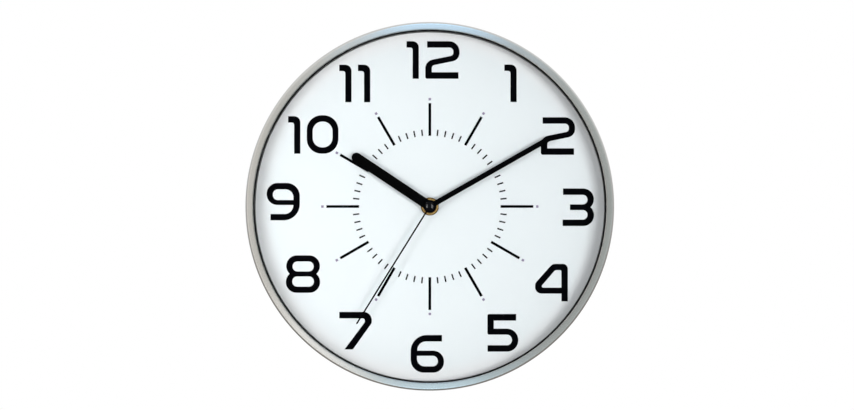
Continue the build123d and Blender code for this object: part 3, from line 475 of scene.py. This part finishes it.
# Contacts and arbor: leaf springs at both ends of the cell, and the pin that carries the second
# hand, all of nickel-plated spring steel.
# Nickel gives a warm bright glint, broken by faint streaks.
nickel, tree, shader = new_material("nickel_plated_spring_steel", "#c9c7c0", 0.25, 1.0)
uneven_shine(tree, shader, 1.5, 2.0, 0.18, 0.36)
dress(nickel, "contact_positive", "contact_negative", "seconds_arbor")


# Motor iron: the stator and the coil's core are stamped from soft iron sheet, and the rotor's
# magnet is pressed and sintered to much the same grey.
# Rolled iron looks dull and cloudy beside the plated steel.
iron, tree, shader = new_material("stamped_soft_iron", "#8f8f8d", 0.45, 1.0)
uneven_shine(tree, shader, 1.0, 3.0, 0.36, 0.58)
dress(iron, "stator_plate", "coil_core", "rotor_magnet")


# Coil: fine enamelled copper wire, wound on the bobbin.
# Its turns give a silky orange sheen. They lie 0.1 mm apart, drawn at 0.4 mm so that they show.
copper, tree, shader = new_material("enamelled_copper_wire", "#c07040", 0.3, 1.0)
place = add(tree, "ShaderNodeTexCoord").outputs["Object"]
turns = add(tree, "ShaderNodeTexWave", {"bands_direction": "X"}, Vector=place,
            Scale=1 / (0.4 * MM) / 20)
bump = add(tree, "ShaderNodeBump", Height=turns.outputs["Fac"], Strength=0.5, Distance=0.1 * MM)
tree.links.new(bump.outputs[0], shader.inputs["Normal"])
dress(copper, "coil_winding")


# Circuit board: green lacquered laminate, held by the movement's case, with the chip under a cast
# drop of black resin.
# The glass weave shows through the lacquer as a fine check of two greens.
board_green, board_weave = "#2f7a4a", "#2a7044"
laminate, tree, shader = new_material("green_lacquered_laminate", board_green, 0.35)
place = add(tree, "ShaderNodeTexCoord").outputs["Object"]
weave = add(tree, "ShaderNodeTexChecker", Vector=place, Scale=1 / (0.5 * MM),
            Color1=linear(board_green), Color2=linear(board_weave))
tree.links.new(weave.outputs["Color"], shader.inputs["Base Color"])
dress(laminate, "circuit_board")
# Resin sets with slow ripples, which wobble its wet-looking highlight.
resin, tree, shader = new_material("cast_black_resin", "#121213", 0.2)
place = add(tree, "ShaderNodeTexCoord").outputs["Object"]
ripple = add(tree, "ShaderNodeTexNoise", Vector=place, Scale=1 / (2 * MM))
bump = add(tree, "ShaderNodeBump", Height=ripple.outputs["Fac"], Strength=0.2, Distance=0.1 * MM)
tree.links.new(bump.outputs[0], shader.inputs["Normal"])
dress(resin, "chip_drop")


# Setting knob: a fluted wheel of dark grey acetal, pressed on the back end of the motion arbor.
# The moulded grain gives it a dry, even shine, paler than the case around it.
knob_plastic, tree, shader = new_material("moulded_grey_acetal", "#4a4a4d", 0.45)
uneven_shine(tree, shader, 0.6, 2.0, 0.36, 0.54)
smooth_copy("fluted_knob", "setting_knob", knob_plastic, "motion_work", "knob_plastic", 25)


# Battery: a nickel-plated can in a printed shrink film, dark with a copper-coloured end. It lies
# in its bay between the two contacts and lifts out to the back.
# The film clings with a fine crinkle, so that its gloss breaks up along the cell.
film_dark, film_copper, copper_end = "#2b2e33", "#b8793f", -11
smooth_copy("cell_can", "battery_can", nickel, "battery", "cell_shell")
film, tree, shader = new_material("printed_shrink_film", film_dark, 0.28)
place = add(tree, "ShaderNodeTexCoord").outputs["Object"]
along = add(tree, "ShaderNodeSeparateXYZ", Vector=place)
end = add(tree, "ShaderNodeMath", {"operation": "LESS_THAN"}, _0=along.outputs["X"],
          _1=copper_end * MM)
shade = add(tree, "ShaderNodeMix", {"data_type": "RGBA"}, Factor=end.outputs[0],
            _6=linear(film_dark), _7=linear(film_copper))
tree.links.new(shade.outputs[2], shader.inputs["Base Color"])
tree.links.new(end.outputs[0], shader.inputs["Metallic"])
uneven_shine(tree, shader, 2.5, 2.0, 0.2, 0.36)
smooth_copy("cell_film", "battery_sleeve", film, "battery", "cell_sleeve")


# Fixing: a brass bush through the dial, a rubber washer behind the floor, a thin brass washer and
# a round brass nut in front, turned from bar, with fine tool rings and a crowned face.
# Rubber is dull and a little dusty. The seal in front of the glass is of the same.
rubber, tree, shader = new_material("moulded_black_rubber", "#161616", 0.75)
uneven_shine(tree, shader, 0.7, 3.0, 0.66, 0.86)
dress(rubber, "rubber_washer", "lens_seal")
# Tool rings give brass a glint that runs around. They are about 0.1 mm apart, drawn at 0.25 mm so
# that they show close up.
brass, tree, shader = new_material("turned_brass", "#d8ab62", 0.26, 1.0)
radius = from_axis(tree, add(tree, "ShaderNodeTexCoord").outputs["Object"])
rings = add(tree, "ShaderNodeTexNoise", {"noise_dimensions": "1D"}, W=radius, Scale=1 / (0.25 * MM),
            Detail=2.0)
rough = add(tree, "ShaderNodeMapRange", Value=rings.outputs["Fac"], To_Min=0.2, To_Max=0.36)
tree.links.new(rough.outputs[0], shader.inputs["Roughness"])
bump = add(tree, "ShaderNodeBump", Height=rings.outputs["Fac"], Strength=0.15, Distance=0.02 * MM)
tree.links.new(bump.outputs[0], shader.inputs["Normal"])
# Out towards the nut's rim the brass is painted dark brown: painted shade on its outer edge.
brass_bright, brass_painted_edge_shade, edge_shade_from, edge_shade_to = "#e8bc74", "#4a331b", 5.7, 7.1
# Painted shade, darkening the brass from 5.7 to 7.1 mm out from the axis.
painted_edge_shade = add(tree, "ShaderNodeMapRange", {"interpolation_type": "SMOOTHSTEP"}, Value=radius,
           From_Min=edge_shade_from * MM, From_Max=edge_shade_to * MM)
tone = add(tree, "ShaderNodeMix", {"data_type": "RGBA"}, Factor=painted_edge_shade.outputs[0],
           _6=linear(brass_bright), _7=linear(brass_painted_edge_shade))
tree.links.new(tone.outputs[2], shader.inputs["Base Color"])
dress(brass, "threaded_bush", "brass_washer", "cannon_tube")
nut_bore, nut_r, nut_rear, nut_shoulder, nut_ease = 4.05, 7.35, 24.6, 26.7, 0.1
crown_r, crown_front, crown_ease, bore_front, bore_ease = 5.9, 27.1, 0.8, 26.6, 0.2
nut = turned([(nut_bore, nut_rear, nut_ease), (nut_r, nut_rear, nut_ease),
              (nut_r, nut_shoulder, crown_ease), (crown_r, crown_front, crown_ease),
              (nut_bore, bore_front, bore_ease)], 96)
nut_piece = finish_piece("round_nut", nut, brass, "case", "brass", 40, "fixing_nut")


# Hands: stamped aluminium strips, sprayed matt black, each on a collar pressed onto its shaft. The
# front edges are eased, as stamping and paint leave them.
# Sprayed paint is deep and nearly without shine, with a dry grain.
black_paint, tree, shader = new_material("sprayed_matt_black", "#020203", 0.45)
shader.inputs["Specular IOR Level"].default_value = 0.02
uneven_shine(tree, shader, 0.5, 2.0, 0.38, 0.54)


def hand(name, node, body, length, width, hub, rear, sheet, collar, collar_rear, bore, angle):
    """A strip with a round end and a round hub on a collar, turned to a clock angle."""
    half = width / 2
    neck = math.degrees(math.asin(half / hub))
    outline = arc(hub, neck, 360 - neck, 48) + arc(half, -90, 90, 24, (0, length - half))
    work, lifted = drawn_out(outline, rear, rear + sheet)
    front = [e for e in work.edges if all(v in lifted for v in e.verts)]
    bmesh.ops.bevel(work, geom=front, offset=min(0.15, sheet / 3) * MM, segments=2, profile=0.5,
                    affect="EDGES")
    mount = turned([(bore, collar_rear, 0), (collar, collar_rear, 0.1), (collar, rear, 0),
                    (bore, rear, 0)], 48)
    mesh = joined(name, as_mesh(work, name + "_blade"), mount)
    mesh.transform(Matrix.Rotation(math.radians(angle), 4, "Y"))
    finish_piece(name, mesh, black_paint, body, "black_paint", 35, node)


hand("hour_strip", "hour_hand", "hours", length=76, width=8.0, hub=4.6, rear=28.6, sheet=0.6,
     collar=3.8, collar_rear=28.0, bore=2.52, angle=303.7)
hand("minute_strip", "minute_hand", "minutes", length=113.5, width=4.3, hub=4.9, rear=30.6, sheet=0.6,
     collar=2.8, collar_rear=30.0, bore=1.52, angle=60.4)
hand("second_strip", "second_hand", "seconds", length=113, width=1.3, hub=3.0, rear=32.4, sheet=0.3,
     collar=1.3, collar_rear=31.9, bore=0.52, angle=211.9)


# Cap: a black plastic dome, moulded and polished, pressed over the second hand's hub.
# The polish mirrors the lamps as two bright bars, softened by a faint haze.
gloss, tree, shader = new_material("polished_black_plastic", "#020203", 0.1)
shader.inputs["Specular IOR Level"].default_value = 0.09
uneven_shine(tree, shader, 1.5, 2.0, 0.04, 0.1)
cap_r, cap_rise, cap_rear, cap_front, cap_steps = 4.1, 1.7, 32.7, 34.6, 16
socket_r, socket_floor, skirt_ease = 0.6, 33.1, 0.08
dome_r = (cap_r ** 2 + cap_rise ** 2) / (2 * cap_rise)
dome = [(0, socket_floor, 0), (socket_r, socket_floor, 0), (socket_r, cap_rear, 0),
        (cap_r, cap_rear, skirt_ease), (cap_r, cap_front - cap_rise, 0)]
for k in range(1, cap_steps + 1):
    tilt = math.asin(cap_r / dome_r) * (1 - k / cap_steps)
    dome.append((dome_r * math.sin(tilt), cap_front - dome_r + dome_r * math.cos(tilt), 0))
cap = finish_piece("domed_cap", turned(dome, 64), gloss, "seconds", "black_gloss", 40, "second_cap")


# Glass: a flat pane of clear float glass, 2 mm thick with a ground edge. It lies on the end of the
# case's wall tube, and the lip of the ring holds it there through a rubber seal.
# Clean glass shows as a faint mirror, which grows when seen from the side.
glass, tree, shader = new_material("clear_float_glass", "#f4f8f8", 0.02)
glass_index = 1.5
shine = add(tree, "ShaderNodeBsdfGlossy")
uneven_shine(tree, shine, 25, 3.0, 0.01, 0.03)
clear = add(tree, "ShaderNodeBsdfTransparent", Color=linear("#fdfefe"))
# Light runs straight through, so the rear side takes the same share of shine as the front.
side = add(tree, "ShaderNodeNewGeometry").outputs["Backfacing"]
index = add(tree, "ShaderNodeMath", {"operation": "MULTIPLY_ADD"}, _0=side,
            _1=1 / glass_index - glass_index, _2=glass_index)
bend = add(tree, "ShaderNodeFresnel", IOR=index.outputs[0])
mixed = add(tree, "ShaderNodeMixShader", _0=bend.outputs[0], _1=clear.outputs[0], _2=shine.outputs[0])
tree.links.new(mixed.outputs[0], tree.nodes["Material Output"].inputs["Surface"])
pane_r, pane_front, pane_ease = 147.6, 38.3, 0.2
pane = turned([(0, tube_front, 0), (pane_r, tube_front, pane_ease), (pane_r, pane_front, pane_ease),
               (0, pane_front, 0)])
finish_piece("glass_pane", pane, glass, "case", "flat_glass", 30, "lens")


# Studio floor: a wide roll of white paper, well below the clock. The ring's mirror doesn't see it.
# Paper is a soft white with a fibre that barely shows. The camera sees it paler than it is lit, and
# it keeps its shadows. Its reach and height are in metres.
reach, drop = 15, -1.6
floor = bpy.data.meshes.new("studio_floor")
floor.from_pydata([(-reach, -reach, drop), (reach, -reach, drop), (reach, reach, drop),
                   (-reach, reach, drop)], [], [(0, 1, 2, 3)])
paper, tree, shader = new_material("white_paper_roll", "#f4f4f4", 0.8)
place = add(tree, "ShaderNodeTexCoord").outputs["Object"]
fibre = add(tree, "ShaderNodeTexNoise", Vector=place, Scale=1 / (4 * MM), Detail=3.0)
bump = add(tree, "ShaderNodeBump", Height=fibre.outputs["Fac"], Strength=0.1, Distance=0.3 * MM)
tree.links.new(bump.outputs[0], shader.inputs["Normal"])
seen = add(tree, "ShaderNodeLightPath").outputs["Is Camera Ray"]
lift = add(tree, "ShaderNodeMath", {"operation": "MULTIPLY"}, _0=seen, _1=0.4)
tree.links.new(lift.outputs[0], shader.inputs["Emission Strength"])
floor.materials.append(paper)
floor_piece = placed("studio_floor", floor)
floor_piece.visible_glossy = False


# Lamps: a far soft box at the right, a near one at the left and one behind the clock. Two upright
# strips light nothing but the cap, which shows each as a soft bar, and a wide panel lights nothing
# but the nut. Places and sizes are in metres, spreads in degrees and powers in watts.
for name, place, wide, tall, spread, power, lit_alone in (
        ("right_soft_box", (2.1, -3.4, -0.1), 1.6, 1.3, 80, 18.2, None),
        ("left_soft_box", (-0.38, -0.45, -0.03), 0.2, 0.34, 180, 1.47, None),
        ("rear_soft_box", (0.7, 1.9, 1.1), 1.2, 1.2, 180, 60.0, None),
        ("right_strip", (0.66, -0.75, 0.03), 0.3, 1.2, 180, 36.0, cap),
        ("left_strip", (-0.72, -0.7, 0.03), 0.3, 1.2, 180, 36.0, cap),
        ("nut_panel", (0.4, -1.4, -0.3), 2.6, 2.2, 180, 11.0, nut_piece)):
    lamp = bpy.data.lights.new(name, "AREA")
    lamp.shape, lamp.size, lamp.size_y, lamp.energy = "RECTANGLE", wide, tall, power
    lamp.color, lamp.spread = linear("#fffcfb")[:3], math.radians(spread)
    holder = placed(name, lamp)
    holder.location = place
    holder.rotation_euler = (-Vector(place)).to_track_quat("-Z", "Y").to_euler()
    holder.visible_camera, holder.visible_glossy = False, lit_alone is not None
    if lit_alone:
        holder.light_linking.receiver_collection = bpy.data.collections.new(name + "_lights")
        holder.light_linking.receiver_collection.objects.link(lit_alone)


# Walls: a world, white where the camera sees it and behind the clock. In front, where ring and glass
# mirror it, it is warm at the left, dim at the right and cool above and below, with two small cards
# at the left and a dark screen behind the camera. Places here are parts of a unit direction.
warm_wall, dim_wall = (0.83, 0.79, 0.735, 1), (0.486, 0.514, 0.50, 1)
cool_above, cool_below = (0.93, 1.34, 1.72, 1), (0.90, 1.20, 1.36, 1)
bright_card, dim_card = (2.3, 2.25, 2.2, 1), (0.5, 0.52, 0.505, 1)
room_low, room_high = (0.1, 0.092, 0.085, 1), (0.335, 0.333, 0.33, 1)
smooth, blend = {"interpolation_type": "SMOOTHSTEP"}, {"data_type": "RGBA"}
world = bpy.data.worlds.new("studio_walls")
bpy.context.scene.world = world
world.use_nodes = True
tree = world.node_tree
tree.nodes.clear()
look = add(tree, "ShaderNodeTexCoord").outputs["Generated"]
path = add(tree, "ShaderNodeLightPath").outputs
axes = add(tree, "ShaderNodeSeparateXYZ", Vector=look).outputs
across = add(tree, "ShaderNodeMapRange", smooth, Value=axes["X"], From_Min=-0.17, From_Max=0.17)
wall = add(tree, "ShaderNodeMix", blend, Factor=across.outputs[0], _6=warm_wall, _7=dim_wall)
aside = add(tree, "ShaderNodeMath", {"operation": "ABSOLUTE"}, _0=axes["X"])
narrow = add(tree, "ShaderNodeMapRange", smooth, Value=aside.outputs[0], From_Min=0.13, From_Max=0.02)
to_bright = add(tree, "ShaderNodeVectorMath", {"operation": "DISTANCE"}, _0=look,
                _1=(-0.12, -0.985, -0.12))
to_dim = add(tree, "ShaderNodeVectorMath", {"operation": "DISTANCE"}, _0=look,
             _1=(-0.133, -0.985, 0.112))
for value, none_at, full_at, share, colour in (
        (axes["Z"], 0.12, 0.18, narrow.outputs[0], cool_above),
        (axes["Z"], -0.09, -0.15, narrow.outputs[0], cool_below),
        (to_bright.outputs["Value"], 0.07, 0.02, 1.0, bright_card),
        (to_dim.outputs["Value"], 0.06, 0.015, 1.0, dim_card)):
    fade = add(tree, "ShaderNodeMapRange", smooth, Value=value, From_Min=none_at, From_Max=full_at)
    amount = add(tree, "ShaderNodeMath", {"operation": "MULTIPLY"}, _0=fade.outputs[0], _1=share)
    wall = add(tree, "ShaderNodeMix", blend, Factor=amount.outputs[0], _6=wall.outputs[2], _7=colour)
# Farther round is a plain room, paler above, which shiny things show more brightly.
height = add(tree, "ShaderNodeMapRange", smooth, Value=axes["Z"], From_Min=-0.6, From_Max=0.6)
room = add(tree, "ShaderNodeMix", blend, Factor=height.outputs[0], _6=room_low, _7=room_high)
bright = add(tree, "ShaderNodeMath", {"operation": "MULTIPLY_ADD"}, _0=path["Is Glossy Ray"], _1=1.2,
             _2=1.0)
room = add(tree, "ShaderNodeVectorMath", {"operation": "SCALE"}, _0=room.outputs[2],
           Scale=bright.outputs[0])
off_axis = from_axis(tree, look)
far = add(tree, "ShaderNodeMapRange", smooth, Value=off_axis, From_Min=0.4, From_Max=0.65)
hues = add(tree, "ShaderNodeMix", blend, Factor=far.outputs[0], _6=wall.outputs[2], _7=room.outputs[0])
# The dark screen keeps the glass from mirroring a pale wall.
screen = add(tree, "ShaderNodeMapRange", smooth, Value=off_axis, From_Min=0.075, From_Max=0.13,
             To_Min=0.02, To_Max=1.0)
walls = add(tree, "ShaderNodeBackground", Color=hues.outputs[2], Strength=screen.outputs[0])
behind = add(tree, "ShaderNodeMapRange", smooth, Value=axes["Y"], From_Min=0.7, From_Max=0.9)
shiny = add(tree, "ShaderNodeMath", {"operation": "ADD"}, _0=path["Is Glossy Ray"],
            _1=path["Is Transmission Ray"])
shown = add(tree, "ShaderNodeMath", {"operation": "MULTIPLY_ADD", "use_clamp": True},
            _0=shiny.outputs[0], _1=behind.outputs[0], _2=path["Is Camera Ray"])
paper_white = add(tree, "ShaderNodeBackground", Color=(1, 1, 1, 1), Strength=1.0)
both = add(tree, "ShaderNodeMixShader", _0=shown.outputs[0], _1=walls.outputs[0],
           _2=paper_white.outputs[0])
add(tree, "ShaderNodeOutputWorld", Surface=both.outputs[0])


# Camera: nearly head-on, a little below and to the right of the dial's middle, three metres off,
# with a long lens that keeps the ring round.
camera = bpy.data.cameras.new("camera")
camera.lens, camera.sensor_width = 155.6, 36
view = placed("camera", camera)
aim = Vector((-2.2, -40.8, 0.9)) * MM
view.location = aim + Vector((0.02, -3.0, -0.06))
view.rotation_euler = (aim - view.location).to_track_quat("-Z", "Y").to_euler()
bpy.context.scene.camera = view
